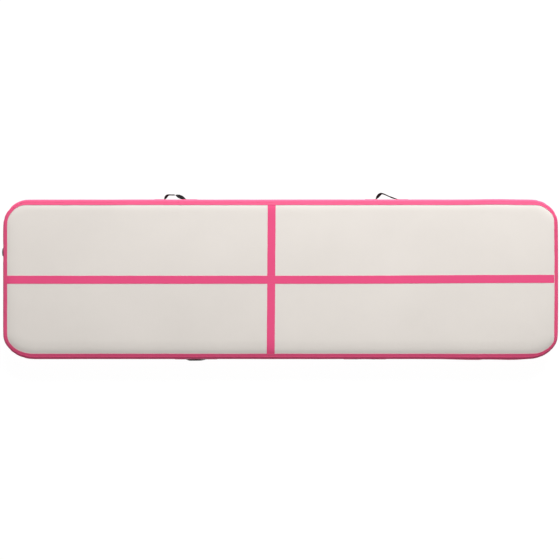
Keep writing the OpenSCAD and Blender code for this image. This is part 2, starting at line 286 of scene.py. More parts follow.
def thicken(o, t, offset=-1.0):
    """Gives a skin its thickness. Its cut edges stay crisp."""
    mesh = o.data
    used = np.zeros(len(mesh.edges), int)
    loops = np.zeros(len(mesh.loops), int)
    mesh.loops.foreach_get("edge_index", loops)
    np.add.at(used, loops, 1)
    sharp = mesh.attributes.get("sharp_edge") or mesh.attributes.new("sharp_edge", "BOOLEAN", "EDGE")
    sharp.data.foreach_set("value", used == 1)
    solidify = o.modifiers.new("thickness", "SOLIDIFY")
    solidify.thickness = t
    solidify.offset = offset
    solidify.use_even_offset = True
    solidify.use_rim = True
    return o


def hold(o, body, slot, *nodes):
    """Fixes a piece to its body, in place of the CAD nodes that it stands for. slot is not used."""
    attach(o, body)
    if nodes:
        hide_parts(*nodes)
    return o


# ---- the outline of the mat, followed anticlockwise ----

def outline(step=0.012, corner_steps=72):
    """Points, outward normals and distance along. The corners run rear right, rear left, front left and
    front right: no two are quite alike, and none is quite round."""
    turns = ((1, 1), (-1, 1), (-1, -1), (1, -1))
    centres = [(sx * (HX - rx), sy * (HY - ry)) for (sx, sy), (rx, ry) in zip(turns, CORNERS)]
    (x1, y1), (x2, y2), (x3, y3), (x4, y4) = centres
    runs = [((HX, y4), (HX, y1), (1, 0)), ((x1, HY), (x2, HY), (0, 1)),
            ((-HX, y2), (-HX, y3), (-1, 0)), ((x3, -HY), (x4, -HY), (0, -1))]
    points, normals = [], []
    for i, (a, b, n) in enumerate(runs):
        rx, ry = CORNERS[i]
        count = max(2, round(math.dist(a, b) / (step / 4 if n == (-1, 0) else step)))
        for k in range(count):
            points.append([a[0] + (b[0] - a[0]) * k / count, a[1] + (b[1] - a[1]) * k / count])
            normals.append(n)
        for k in range(corner_steps):
            t = math.radians(90 * i + 90 * k / corner_steps)
            points.append([centres[i][0] + rx * math.cos(t), centres[i][1] + ry * math.sin(t)])
            normals.append(tuple(Vector((math.cos(t) / rx, math.sin(t) / ry)).normalized()))
    points, normals = np.array(points, float), np.array(normals, float)
    steps = np.linalg.norm(np.roll(points, -1, 0) - points, axis=1)
    return points, normals, np.concatenate([[0], np.cumsum(steps)[:-1]])


POINTS, NORMALS, ALONG = outline()
COUNT = len(POINTS)
AROUND = ALONG[-1] + float(np.linalg.norm(POINTS[-1] - POINTS[0]))
CORNER = smooth(0.05, 0.85, np.abs(2 * NORMALS[:, 0] * NORMALS[:, 1]))


def wander(x, y, nx, ny):
    """How far the side stands in or out of its straight line: the mat is filled cloth, not a block."""
    w = 0.0008 * wobble(x * 1.7, y * 1.7, 3.1) + 0.0004 * wobble(x * 6, y * 6, 8.2)
    w += max(ny, 0) * (0.0010 + 0.0026 * math.exp(-((x - 1.37) / 0.13) ** 2))
    return w + abs(nx) * (0.0030 if nx > 0 else 0.0003) * (1 - (y / 0.42) ** 2)


def bows(x):
    """Slack cloth stands out of the front wall in two long bows, each fuller towards its right end."""
    first = smooth(0.95, 1.24, x) - smooth(1.255, 1.31, x)
    second = smooth(1.25, 1.30, x) * (0.55 + 0.45 * smooth(1.33, 1.45, x)) - smooth(1.465, 1.58, x)
    return 0.0053 * max(float(first), float(second), 0.0)


def swell(x, y, nx, ny):
    """How far the side wall bulges with the pressure. The valve's flange holds it flat."""
    near = 1 - float(smooth(0.031, 0.072, abs(y - VALVE.y))) if nx < -0.5 else 0.0
    full = BULGE * (1 - 0.45 * max(-nx, 0) - 0.45 * max(ny, 0) - 0.12 * max(-ny, 0))
    return full * (1 - near) * (1 + 0.10 * wobble(x * 3, y * 3, 5.5)) + bows(x) * max(-ny, 0)


def round_off(z):
    """The share of the bulge at height z: none at the floor and at the top."""
    return (1 - ((z - MID_Z) / MID_Z) ** 2).clip(0) ** 1.5


WANDER = np.array([wander(*p, *n) for p, n in zip(POINTS, NORMALS)])
SWELL = np.array([swell(*p, *n) for p, n in zip(POINTS, NORMALS)])


# ---- puckers of the side wall, by cloth simulation ----

CLOTH_PITCH = 0.008
CLOTH_ROWS = 13
CLOTH_FRAMES = 16
SEAM_Z = 0.008
SPARE = 0.045
PUCKER_MAX = 0.0013


def wall_cloth(p, n, corner, heights):
    """The side strip, held along both seams and blown outward, with cloth to spare round the corners.
    Returns how far it stands out of the smooth bulge."""
    m, k = len(p), len(heights)
    out = BULGE * round_off(heights)[None, :, None]
    z = np.broadcast_to(heights[None, :, None], (m, k, 1))
    rest = np.concatenate([p[:, None] + n[:, None] * out, z], 2)
    verts = rest.copy()
    for i, (x, y) in enumerate(p):
        for j in range(1, k - 1):
            verts[i, j, :2] += n[i] * 0.0005 * wobble(x * 32, y * 32, heights[j] * 18 + 4.0)
    o = make("wall_cloth", verts.reshape(-1, 3), grid_faces(m, k, loop_u=True), M_CORE)
    held = o.vertex_groups.new(name="held")
    held.add([i * k + j for i in range(m) for j in (0, k - 1)], 1.0, "REPLACE")
    taut = o.vertex_groups.new(name="taut")
    for i in range(m):
        taut.add(list(range(i * k, i * k + k)), float(1 - corner[i]), "REPLACE")
    cloth = o.modifiers.new("cloth", "CLOTH")
    cloth.point_cache.frame_start, cloth.point_cache.frame_end = 1, CLOTH_FRAMES
    cloth.collision_settings.use_collision = False
    rules = cloth.settings
    rules.quality = 4
    rules.mass = 0.004
    rules.tension_stiffness = rules.compression_stiffness = 25
    rules.shear_stiffness = 12
    rules.bending_stiffness = 0.6
    rules.tension_damping = rules.compression_damping = 5
    rules.air_damping = 3
    rules.vertex_group_mass = "held"
    rules.vertex_group_shrink = "taut"
    rules.shrink_min, rules.shrink_max = -SPARE, 0.0
    rules.use_pressure = True
    rules.uniform_pressure_force = 12.0
    rules.effector_weights.gravity = 0
    scene = bpy.context.scene
    for f in range(1, CLOTH_FRAMES + 1):
        scene.frame_set(f)
    blown = o.evaluated_get(bpy.context.evaluated_depsgraph_get()).to_mesh()
    blown_to = np.zeros(m * k * 3, np.float32)
    blown.vertices.foreach_get("co", blown_to)
    mesh = o.data
    bpy.data.objects.remove(o)
    bpy.data.meshes.remove(mesh)
    scene.frame_set(1)
    return ((blown_to.reshape(m, k, 3) - rest)[:, :, :2] * n[:, None]).sum(2)


def soften(v, times):
    """Averages each station with its neighbours, times over."""
    for _ in range(times):
        v = (np.roll(v, 1, 0) + 2 * v + np.roll(v, -1, 0)) / 4
    return v


def loose():
    """0 at the stations where a welded patch stiffens the wall, 1 well away from every patch."""
    names = ["wall_joint_cover", "valve_patch"]
    for strap_name in ("rear_left", "rear_right", "front_left", "front_right"):
        names += [strap_name + "_patch_a", strap_name + "_patch_b"]
    free = np.ones(COUNT)
    for name in names:
        lo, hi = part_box(name)
        half = max(hi.x - lo.x, hi.y - lo.y) / 2
        away = np.hypot(POINTS[:, 0] - (lo.x + hi.x) / 2, POINTS[:, 1] - (lo.y + hi.y) / 2)
        free = np.minimum(free, smooth(half + 0.013, half + 0.040, away))
    return free[:, None]


def puckers():
    """How far the wall stands out of its smooth bulge at every station and at each height of PUCKER_Z."""
    turn = np.append(ALONG, AROUND)
    at = np.linspace(0, AROUND, round(AROUND / CLOTH_PITCH), endpoint=False)
    p, n, corner = (np.stack([np.interp(at, turn, np.append(c, c[0])) for c in v.T], 1)
                    for v in (POINTS, NORMALS, CORNER[:, None]))
    n /= np.linalg.norm(n, axis=1)[:, None]
    out = wall_cloth(p, n, corner[:, 0], PUCKER_Z)
    out = (out - soften(out, 24)).clip(-PUCKER_MAX, PUCKER_MAX)
    return loose() * soften(np.stack([np.interp(ALONG, at, c, period=AROUND) for c in out.T], 1), 2)


PUCKER_Z = np.linspace(SEAM_Z, TOP - SEAM_Z, CLOTH_ROWS)
PUCKERS = puckers()


# ---- the top shoulder ----

# Its slope on each side, by distance in from the wall (mm): the front and the ends are rounder, and the rear
# is pulled flatter with a tighter edge.
SLOPES = {
    "rear": ((0, 2, 3.5, 7, 16, 30, 45, 60, 75), (6, 2.5, 0.42, 0.27, 0.26, 0.18, 0.08, 0.03, 0)),
    "front": ((0, 3, 8, 13, 30, 43, 55, 68, 85, 100, 115),
              (2.2, 1.0, 0.42, 0.27, 0.26, 0.23, 0.14, 0.08, 0.055, 0.04, 0)),
    "left": ((0, 3, 6, 12, 25, 38, 50, 63, 80, 95),
             (4.6, 1.8, 0.48, 0.30, 0.25, 0.18, 0.09, 0.05, 0.02, 0)),
    "right": ((0, 3, 6, 12, 25, 38, 50, 63, 80, 95),
              (4, 1.6, 0.7, 0.56, 0.37, 0.17, 0.09, 0.05, 0.02, 0)),
}
U_GRID = np.linspace(0, 0.12, 481)


def fall_table(side):
    """The drop at each step of U_GRID, scaled so that the whole shoulder drops by SHOULDER_DROP."""
    at, slope = SLOPES[side]
    f = np.interp(U_GRID * 1000, at, slope)
    area = np.concatenate([[0], np.cumsum((f[1:] + f[:-1]) / 2 * np.diff(U_GRID))])
    return SHOULDER_DROP * (area[-1] - area) / area[-1]


FALL = np.stack([fall_table(k) for k in ("rear", "front", "left", "right")])
SIDES = np.stack([NORMALS[:, 1], -NORMALS[:, 1], -NORMALS[:, 0], NORMALS[:, 0]], 1).clip(0) ** 2


def fall(u, sides):
    """How far the top face has dropped at u in from the wall; sides weighs rear, front, left and right."""
    u = np.asarray(u, float)
    tables = np.stack([np.interp(u, U_GRID, t) for t in FALL], -1)
    return (tables * sides).sum(-1)


def wall_point(x, y, nx, ny, z, off):
    """A point on the side wall, off outside its skin. (x, y) is on the true outline."""
    out = wander(x, y, nx, ny) + swell(x, y, nx, ny) * float(round_off(np.array(z))) + off
    return Vector((x + nx * out, y + ny * out, z))


def lap(rear, front, left, right, dip, seed, wave_mm=0.6):
    """How far in the edge of a strip lies, all round, from sizes in mm. dip is how much narrower it is at
    the four corners."""
    w = (rear * NORMALS[:, 1].clip(0) ** 2 + front * (-NORMALS[:, 1]).clip(0) ** 2
         + right * NORMALS[:, 0].clip(0) ** 2 + left * (-NORMALS[:, 0]).clip(0) ** 2)
    x, y = POINTS.T
    w -= CORNER * np.select([(x > 0) & (y > 0), (x < 0) & (y > 0), x < 0], dip[:3], dip[3])
    for i, (px, py) in enumerate(POINTS):
        w[i] += wave_mm * wobble(px * 5, py * 5, seed) + 0.4 * wave_mm * wobble(px * 17, py * 17, seed + 4)
    return w / 1000


def side_profile(top_lap, low_lap, shoulder=18, wall=14):
    """A skin's section at every station, from its top edge over the wall to its lower edge: the inset, the
    height, and how near each point is to its edge (1 at the edge, 0 on the wall)."""
    s = (1 - np.linspace(0, 1, shoulder, endpoint=False)) ** 1.5
    up = top_lap[:, None] * s[None, :]
    z_up = TOP - fall(up, SIDES[:, None, :])
    flat = np.repeat(np.linspace(TOP - SHOULDER_DROP, SHOULDER_DROP, wall + 1)[None, :], COUNT, 0)
    a = np.arccos(np.clip(1 - low_lap / SHOULDER_RUN, -1, 1))[:, None] * np.linspace(0, 1, 15)[None, 1:]
    u = np.concatenate([up, np.zeros_like(flat), SHOULDER_RUN * (1 - np.cos(a))], 1)
    z = np.concatenate([z_up, flat, SHOULDER_DROP * (1 - np.sin(a))], 1)
    share = np.concatenate([s[None, :] + 0 * up, 0 * flat, a / a.max(1)[:, None]], 1)
    return u, z, share


def valve_hole(verts, uvs, faces, nv):
    """Cuts the valve's round hole: a block of the grid is taken out, and its edge is joined to a circle."""
    x, y, z = verts.reshape(COUNT, nv, 3).transpose(2, 0, 1)
    clear = NECK_HOLE + 0.002
    left = NORMALS[:, 0] < -0.999
    i0 = np.flatnonzero(left & (POINTS[:, 1] > VALVE.y + clear))[-1]
    i1 = np.flatnonzero(left & (POINTS[:, 1] < VALVE.y - clear))[0]
    j0 = np.flatnonzero(z[i0] > MID_Z + clear)[-1]
    j1 = np.flatnonzero(z[i0] < MID_Z - clear)[0]
    gone = {(i * nv + j, (i + 1) * nv + j + 1) for i in range(i0, i1) for j in range(j0, j1)}
    faces = [f for f in faces if (f[0], f[2]) not in gone]
    loop = [(i, j0) for i in range(i0, i1)] + [(i1, j) for j in range(j0, j1)]
    loop += [(i, j1) for i in range(i1, i0, -1)] + [(i0, j) for j in range(j1, j0, -1)]
    loop = [i * nv + j for i, j in loop]
    first = len(verts)
    rim, rim_uv = [], []
    for v in loop:
        dy, dz = verts[v][1] - VALVE.y, verts[v][2] - MID_Z
        k = 1 - NECK_HOLE / math.hypot(dy, dz)
        rim.append((verts[v][0], verts[v][1] - dy * k, verts[v][2] - dz * k))
        rim_uv.append((uvs[v][0] + dy * k, uvs[v][1] + dz * k))
    for k, v in enumerate(loop):
        after = (k + 1) % len(loop)
        faces.append((v, loop[after], first + after, first + k))
    return np.concatenate([verts, rim]), np.concatenate([uvs, rim_uv]), faces


def side_strip(name, top_lap, low_lap, off, pleat, seed, material=M_SIDE):
    """A strip wrapped round the whole side. Its outer face is off outside the face of the core wall."""
    u, z, share = side_profile(top_lap, low_lap)
    du, dz = np.gradient(-u, axis=1), np.gradient(z, axis=1)
    ln = np.hypot(du, dz)
    nr, nz = -dz / ln, du / ln
    over_cross = smooth(0.0285, 0.0245, np.abs(POINTS[:, 0] - CROSS_X)) * np.abs(NORMALS[:, 1])
    over_centre = smooth(0.0285, 0.0245, np.abs(POINTS[:, 1])) * np.abs(NORMALS[:, 0])
    over = np.maximum(over_cross, over_centre) * (off > 0)
    phase = np.array([2.2 * wobble(s * 9, seed, 0.5) for s in ALONG])
    fold = np.sin(2 * np.pi * ALONG / 0.0135 + phase).clip(0) ** 2 * CORNER
    slow = np.array([wobble(s * 7, seed, 2.5) for s in ALONG])
    lift = pleat * fold[:, None] * share ** 2 + 0.00012 * slow[:, None] * share * (off > 0)
    depth = off + lift + 0.00045 * over[:, None] * share * (z > MID_Z)
    pucker = np.stack([np.interp(row, PUCKER_Z, of_row) for row, of_row in zip(z, PUCKERS)])
    out = WANDER[:, None] - u + SWELL[:, None] * round_off(z) + pucker + depth * nr
    x, y = POINTS[:, 0:1] + NORMALS[:, 0:1] * out, POINTS[:, 1:2] + NORMALS[:, 1:2] * out
    verts = np.stack([x, y, z + depth * nz], -1)
    steps = np.linalg.norm(np.diff(verts, axis=1), axis=2)
    run = np.cumsum(np.concatenate([np.zeros((COUNT, 1)), steps], 1), 1)
    uvs = np.stack([np.repeat(ALONG[:, None], verts.shape[1], 1), run], -1)
    nv = verts.shape[1]
    rest = run[:, -1:] - run
    weld = smooth(0.0095, 0.0080, np.minimum(run, rest)) * smooth(0.0006, 0.0016, np.minimum(run, rest))
    faces = grid_faces(COUNT, nv, loop_u=True)
    verts, uvs, faces = valve_hole(verts.reshape(-1, 3), uvs.reshape(-1, 2), faces, nv)
    weld = np.concatenate([weld.ravel(), np.zeros(len(verts) - weld.size)])
    return thicken(make(name, verts, faces, material, uvs, weld=weld, around=AROUND), SKIN)


# ---- face sheets ----

def face_height(x, y):
    """Long, very shallow waves in the drop-stitch face."""
    return 0.00045 * wobble(x * 1.3, y * 2.0, 1.7) + 0.00022 * wobble(x * 4.5, y * 5.0, 6.1)


def edge_share(x, y):
    """1 over the flat of the face, 0 where the shoulder starts to fall."""
    qx, qy = abs(x) - (HX - MEAN_CORNER), abs(y) - (HY - MEAN_CORNER)
    if qx > 0 and qy > 0:
        inset = MEAN_CORNER - math.hypot(qx, qy)
    else:
        inset = min(HX - abs(x), HY - abs(y))
    return float(smooth(0.070, 0.140, inset))


def face_z(x, y):
    return face_height(x, y) * edge_share(x, y)


def rim_point(i, u):
    out = WANDER[i] - u
    return POINTS[i][0] + NORMALS[i][0] * out, POINTS[i][1] + NORMALS[i][1] * out


RINGS = (0.112, 0.104, 0.096, 0.089, 0.081, 0.074, 0.067, 0.061, 0.055, 0.049, 0.043, 0.037, 0.031, 0.025,
         0.019, 0.014, 0.010)
RING_STATIONS = range(0, COUNT, 3)
FACE_PITCH = 0.034


def face_sheet(name, material, up):
    """The whole sheet: a triangulated middle, then rings out over the shoulder. up is the top sheet."""
    n = len(RING_STATIONS)
    loop = [Vector(rim_point(i, RINGS[0])) for i in RING_STATIONS]
    inner = []
    for x in np.arange(-HX + 0.152, HX - 0.145, FACE_PITCH):
        for y in np.arange(-HY + 0.150, HY - 0.140, FACE_PITCH):
            qx, qy = abs(x) - (HX - MEAN_CORNER), abs(y) - (HY - MEAN_CORNER)
            if math.hypot(max(qx, 0), max(qy, 0)) < MEAN_CORNER - 0.142:
                inner.append(Vector((x, y)))
    co, _, tris, _, _, _ = delaunay_2d_cdt(loop + inner, [(k, (k + 1) % n) for k in range(n)], [], 1, 1e-6)
    verts = [(c.x, c.y, TOP + (face_z(c.x, c.y) if up else 0)) for c in co]
    faces = [tuple(t) for t in tris]
    where = {(round(v[0], 6), round(v[1], 6)): k for k, v in enumerate(verts)}
    last = [where[(round(p.x, 6), round(p.y, 6))] for p in loop]
    if up:
        for k, i in zip(last, RING_STATIONS):
            x, y, z = verts[k]
            verts[k] = (x, y, z - float(fall(RINGS[0], SIDES[i])))
    for u in RINGS[1:]:
        now = []
        for i in RING_STATIONS:
            x, y = rim_point(i, u)
            if up:
                z = TOP - float(fall(u, SIDES[i]))
            else:
                z = TOP - SHOULDER_DROP * (1 - math.sin(math.acos(max(1 - u / SHOULDER_RUN, 0))))
            swollen = SWELL[i] * float(round_off(np.array(z)))
            z += face_z(x, y) if up else 0
            verts.append((x + NORMALS[i][0] * swollen, y + NORMALS[i][1] * swollen, z))
            now.append(len(verts) - 1)
        for k in range(n):
            faces.append((last[k], now[k], now[(k + 1) % n], last[(k + 1) % n]))
        last = now
    uvs = [(v[0], v[1]) for v in verts]
    if not up:
        verts = [(x, y, TOP - z) for x, y, z in verts]
        faces = [tuple(reversed(f)) for f in faces]
    return thicken(make(name, verts, faces, material, uvs), STRIP)


top_skin = hold(face_sheet("top_skin", M_TOP, True), "mat", "top_pvc", "top_sheet")
base_skin = hold(face_sheet("base_skin", M_BASE, False), "mat", "base_pvc", "bottom_sheet")
EDGE_LAP = lap(31.5, 30.4, 24.4, 21.8, (6.5, 4.5, 2.5, 7.5), 11.0)
COVER_LAP = lap(14.5, 14.0, 12, 12, (3.5, 1.5, 0.5, 2.5), 21.0)
EDGE_LOW_LAP = lap(29, 30, 27, 27, (4, 3, 5, 2), 31.0)
COVER_LOW_LAP = lap(14, 14, 12, 12, (2, 3, 2, 3), 41.0)
WALL_LAP = lap(9, 9, 9, 9, (0, 0, 0, 0), 51.0, 0.2)
CORE_LAP = lap(48, 48, 48, 48, (0, 0, 0, 0), 61.0, 0.5)

edge_strip = side_strip("edge_strip", EDGE_LAP, EDGE_LOW_LAP, STRIP, 0.0006, 1.0)
hold(edge_strip, "mat", "side_pvc", "edge_band")
cover_strip = side_strip("cover_strip", COVER_LAP, COVER_LOW_LAP, 2 * STRIP, 0.0005, 6.0)
hold(cover_strip, "mat", "side_pvc", "side_cover_strip")
side_core = side_strip("side_core", WALL_LAP, WALL_LAP, 0.0, 0, 2.0, M_CORE)
hold(side_core, "mat", "side_pvc", "side_wall")
inner_core = side_strip("inner_core", CORE_LAP, CORE_LAP, -2.2 * STRIP, 0, 2.0, M_CORE)
hold(inner_core, "mat", "side_pvc", "inner_side_wall")


# ---- line tapes ----

def lap_at(x, y):
    i = int(np.argmin((POINTS[:, 0] - x) ** 2 + (POINTS[:, 1] - y) ** 2))
    return float(EDGE_LAP[i])


def tape(name, along, lo, hi, centre, half, seed):
    """A tape on the top face, along "x" or "y" from lo to hi. centre(s) is its middle line."""
    limit = HX if along == "x" else HY
    count = max(40, int((hi - lo) / 0.015))
    stations = [lo + (hi - lo) * (0.5 - 0.5 * math.cos(math.pi * k / (count - 1))) for k in range(count)]
    rows, uvs = [], []
    across = [-1, -0.97, -0.6, -0.2, 0.2, 0.6, 0.97, 1]
    for s in stations:
        for k in across:
            w = half + 0.0004 * wobble(s * 9, k, seed)
            v = centre(s) + k * w
            x, y = (s, v) if along == "x" else (v, s)
            d = limit - abs(s)
            side = (0, 0, s < 0, s > 0) if along == "x" else (s > 0, s < 0, 0, 0)
            z = TOP - float(fall(max(d, 0), np.array(side, float)))
            edge = math.copysign(limit, s)
            lap_here = lap_at(edge, v) if along == "x" else lap_at(v, edge)
            under = 1 - float(smooth(-0.004, -0.0005, d - lap_here))
            rows.append((x, y, z + face_z(x, y) + STRIP * (1 - 0.55 * under)))
            uvs.append((s, v))
    faces = grid_faces(count, len(across))
    if along == "y":
        faces = [tuple(reversed(f)) for f in faces]
    o = make(name, rows, faces, M_LINE, uvs)
    thicken(o, STRIP * 0.96)
    return hold(o, "mat", "line_pvc")


def long_line(x):
    return -0.0028 + 0.0056 * float(smooth(0.2, 1.75, x)) + 0.0004 * wobble(x * 2.2, 0, 77.0)


def short_line(y):
    return CROSS_X + 0.0030 * y / 0.45 + 0.0004 * wobble(0, y * 4, 55.0)


TAPE_ENDS = SHOULDER_RUN * 0.28
half_line = LINE_W / 2
rear_cut = long_line(CROSS_X) + half_line + 0.0004
front_cut = long_line(CROSS_X) - half_line - 0.0004
centre_tape = tape("centre_tape", "x", -HX + TAPE_ENDS, HX - TAPE_ENDS, long_line, half_line + 0.0004, 3.0)
cross_rear = tape("cross_tape_rear", "y", rear_cut, HY - TAPE_ENDS, short_line, half_line, 4.0)
cross_front = tape("cross_tape_front", "y", -HY + TAPE_ENDS, front_cut, short_line, half_line, 5.0)
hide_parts("centre_stripe")
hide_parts("cross_stripe")
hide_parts("cross_stripe")


# ---- patches on the wall ----

def rounded_rect(a, b, r, n=14):
    """Points round a rectangle of half-sizes a and b, with n steps in each corner of radius r."""
    out = []
    for i, (sx, sy) in enumerate(((1, 1), (-1, 1), (-1, -1), (1, -1))):
        for k in range(n + 1):
            t = math.radians(90 * i + 90 * k / n)
            out.append((sx * (a - r) + r * math.cos(t), sy * (b - r) + r * math.sin(t)))
    dense = []
    for k, p in enumerate(out):
        q = out[(k + 1) % len(out)]
        gap = math.dist(p, q)
        steps = max(1, round(gap / 0.004))
        for j in range(steps):
            dense.append((p[0] + (q[0] - p[0]) * j / steps, p[1] + (q[1] - p[1]) * j / steps))
    return dense


WELD_RINGS = (0, 0.0005, 0.0011, 0.0020, 0.0035, 0.0050, 0.0068, 0.0078, 0.0086, 0.0095)
PATCH_PITCH = 0.0013


def holed_rings(a, b, r, hole, inner=10):
    """Rings of a rounded rectangle: evenly inset across the weld, then drawn in to the round hole."""
    rows = []
    for inset in WELD_RINGS:
        row = []
        for p, q in rounded_rect(a, b, r):
            cp, cq = max(r - a, min(a - r, p)), max(r - b, min(b - r, q))
            row.append((p - (p - cp) / r * inset, q - (q - cq) / r * inset))
        rows.append(row)
    for k in np.linspace(0, 1, inner + 1)[1:]:
        rows.append([(p + (p / math.hypot(p, q) * hole - p) * k, q + (q / math.hypot(p, q) * hole - q) * k)
                     for p, q in rows[len(WELD_RINGS) - 1]])
    return rows


def patch(name, place, a, b, r, height, hole=0.0):
    """A welded patch. place(p, q, h) puts a point on the wall. height(p, q, k) is its stand-off there, at k
    in from the patch's edge."""
    if hole:
        rows = holed_rings(a, b, r, hole)
        flat = [point for row in rows for point in row]
        faces = grid_faces(len(rows), len(rows[0]), loop_v=True)
    else:
        nx, ny = 2 * round(a / PATCH_PITCH) + 1, 2 * round(b / PATCH_PITCH) + 1
        ease = [np.sin(np.linspace(-1, 1, n) * 1.35) / math.sin(1.35) for n in (nx, ny)]
        flat = []
        for q in ease[1] * b:
            wide = a if abs(q) <= b - r else a - r + math.sqrt(max(r * r - (abs(q) - b + r) ** 2, 0))
            flat += [(k * wide, q) for k in ease[0]]
        faces = grid_faces(ny, nx)
    insets = []
    for p, q in flat:
        cp, cq = max(abs(p) - a + r, 0), max(abs(q) - b + r, 0)
        insets.append(r - math.hypot(cp, cq) if cp > 0 and cq > 0 else min(a - abs(p), b - abs(q)))
    verts = [place(p, q, height(p, q, k)) for (p, q), k in zip(flat, insets)]
    weld = [float(smooth(0.0085, 0.0070, k) * smooth(0.0012, 0.0022, k)) for k in insets]
    o = make(name, verts, faces, M_PATCH, flat, weld=weld)
    bpy.context.view_layer.update()
    middle = sum((o.data.polygons[i].normal for i in range(0, len(o.data.polygons), 7)), Vector())
    outward = Vector(place(0, 0, 1)) - Vector(place(0, 0, 0))
    if middle.dot(outward) < 0:
        o.data.flip_normals()
    return thicken(o, STRIP * 0.9)


def border(inset):
    """The rounded edge of a patch, and the shallow step left where the weld ends."""
    rounding = 0.00055 * float(smooth(0.0010, 0.0, inset)) ** 2
    return -rounding - 0.00018 * float(smooth(0.0095, 0.0075, inset))


def side_place(x0, sign):
    def place(p, q, h):
        return wall_point(x0 + p, sign * HY, 0, sign, MID_Z + q, FACE + h)
    return place


def strap_patch(name, x0, sign, outer, body_node):
    """outer is -1 or 1, the side away from the loop. The tail ends short of the patch's outer edge."""
    half, tall = 0.035, 0.028

    def height(p, q, inset):
        over = float(smooth(WEB_W / 2 + 0.0030, WEB_W / 2 - 0.0004, abs(q)))
        over *= 1 - float(smooth(half - 0.0105, half - 0.0065, outer * p))
        return STRIP + WEB_T * over + border(inset) * (1 - over)
    return hold(patch(name, side_place(x0, sign), half, tall, 0.009, height), "mat", "side_pvc", body_node)


# ---- straps ----

def catmull(points, count):
    """A smooth curve through the points, at count even steps, and the distance along it."""
    pts = [np.array(p, float) for p in points]
    pts = [2 * pts[0] - pts[1], *pts, 2 * pts[-1] - pts[-2]]
    fine = []
    for i in range(1, len(pts) - 2):
        p0, p1, p2, p3 = pts[i - 1:i + 3]
        for t in np.linspace(0, 1, 24, endpoint=False):
            fine.append(0.5 * (2 * p1 + (p2 - p0) * t + (2 * p0 - 5 * p1 + 4 * p2 - p3) * t ** 2
                               + (3 * p1 - p0 - 3 * p2 + p3) * t ** 3))
    fine.append(pts[-2])
    fine = np.array(fine)
    run = np.concatenate([[0], np.cumsum(np.linalg.norm(np.diff(fine[:, :3], axis=0), axis=1))])
    want = np.linspace(0, run[-1], count)
    return np.stack([np.interp(want, run, fine[:, k]) for k in range(fine.shape[1])], 1), want


def ribbon(name, stations, keep):
    """Webbing with rounded selvedges through stations (x, y, z, tilt). keep is the stretch that is made."""
    count = 261
    path, run = catmull(stations, count)
    pos, tilt = path[:, :3], np.radians(path[:, 3])
    tangent = np.gradient(pos, axis=0)
    tangent /= np.linalg.norm(tangent, axis=1)[:, None]
    up = np.array([0, 0, 1.0])
    w0 = up - (tangent @ up)[:, None] * tangent
    w0 /= np.linalg.norm(w0, axis=1)[:, None]
    n0 = np.cross(tangent, w0)
    w = np.cos(tilt)[:, None] * w0 + np.sin(tilt)[:, None] * n0
    n = np.cross(tangent, w)
    half_w, half_t = WEB_W / 2, WEB_T / 2
    profile = []
    for side in (1, -1):
        for k in np.linspace(-1, 1, 9):
            profile.append((side * k * (half_w - half_t), side * half_t * (1 + 0.10 * (abs(k) > 0.9))))
        for t in (60, 30, 0, -30, -60):
            a = math.radians(t)
            profile.append((side * (half_w - half_t + half_t * math.cos(a)), side * half_t * math.sin(a)))
    m = len(profile)
    girth = np.cumsum([0] + [math.dist(profile[k], profile[(k + 1) % m]) for k in range(m)])
    verts, uvs = [], []
    first, last = (round(k * (count - 1)) for k in keep)
    for i in range(first, last + 1):
        for k, (a, b) in enumerate(profile):
            verts.append(pos[i] + w[i] * a + n[i] * b)
            uvs.append((girth[k], run[i]))
    faces = grid_faces(last - first + 1, m, loop_v=True)
    if first == 0:
        faces.append(tuple(reversed(range(m))))
    if last == count - 1:
        faces.append(tuple(range((last - first) * m, (last - first + 1) * m)))
    o = make(name, verts, faces, M_WEB, uvs)
    bpy.context.view_layer.update()
    return o


def on_wall(x, sign, z=MID_Z, off=0.0):
    return wall_point(x, sign * HY, 0, sign, z, FACE + WEB_T / 2 + off)


REAR_BLEND = (0.0048, 0.022)
FRONT_BLEND = 0.020


def strap(name, x0, sign, foot_a, foot_b, loop, nodes):
    """loop: (dx from x0, distance out of the wall, dz, tilt). The tails lie flat on the wall past the feet.
    A rear strap is made in one piece. A front strap lies flat, and is made in two halves that meet at its
    middle."""
    stations = []
    for d in (0.060, 0.045, 0.030, 0.015, 0.003):
        p = on_wall(x0 - foot_a - d, sign)
        stations.append((*p, 0))
    for dx, out, dz, tilt in loop:
        p = on_wall(x0 + dx, sign, MID_Z + dz, out)
        stations.append((*p, -sign * tilt))
    for d in (0.003, 0.015, 0.030, 0.045, 0.060):
        p = on_wall(x0 + foot_b + d, sign)
        stations.append((*p, 0))
    y = sign * (HY + FACE)
    if sign > 0:
        spans = [("", (0, 1), (x0, y + REAR_BLEND[0], MID_Z), (x0, y + REAR_BLEND[1], MID_Z))]
    else:
        spans = [("_a", (0, 0.5), (x0 - foot_a, y, MID_Z), (x0 - foot_a + FRONT_BLEND, y, MID_Z)),
                 ("_b", (0.5, 1), (x0 + foot_b, y, MID_Z), (x0 + foot_b - FRONT_BLEND, y, MID_Z))]
    for suffix, keep, fixed, free in spans:
        o = ribbon(name + suffix, stations, keep)
        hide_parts(*nodes)
        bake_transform(o)
        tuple(fixed)
        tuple(free)


def mm(rows):
    return [tuple(v / 1000 for v in r[:3]) + (r[3],) for r in rows]


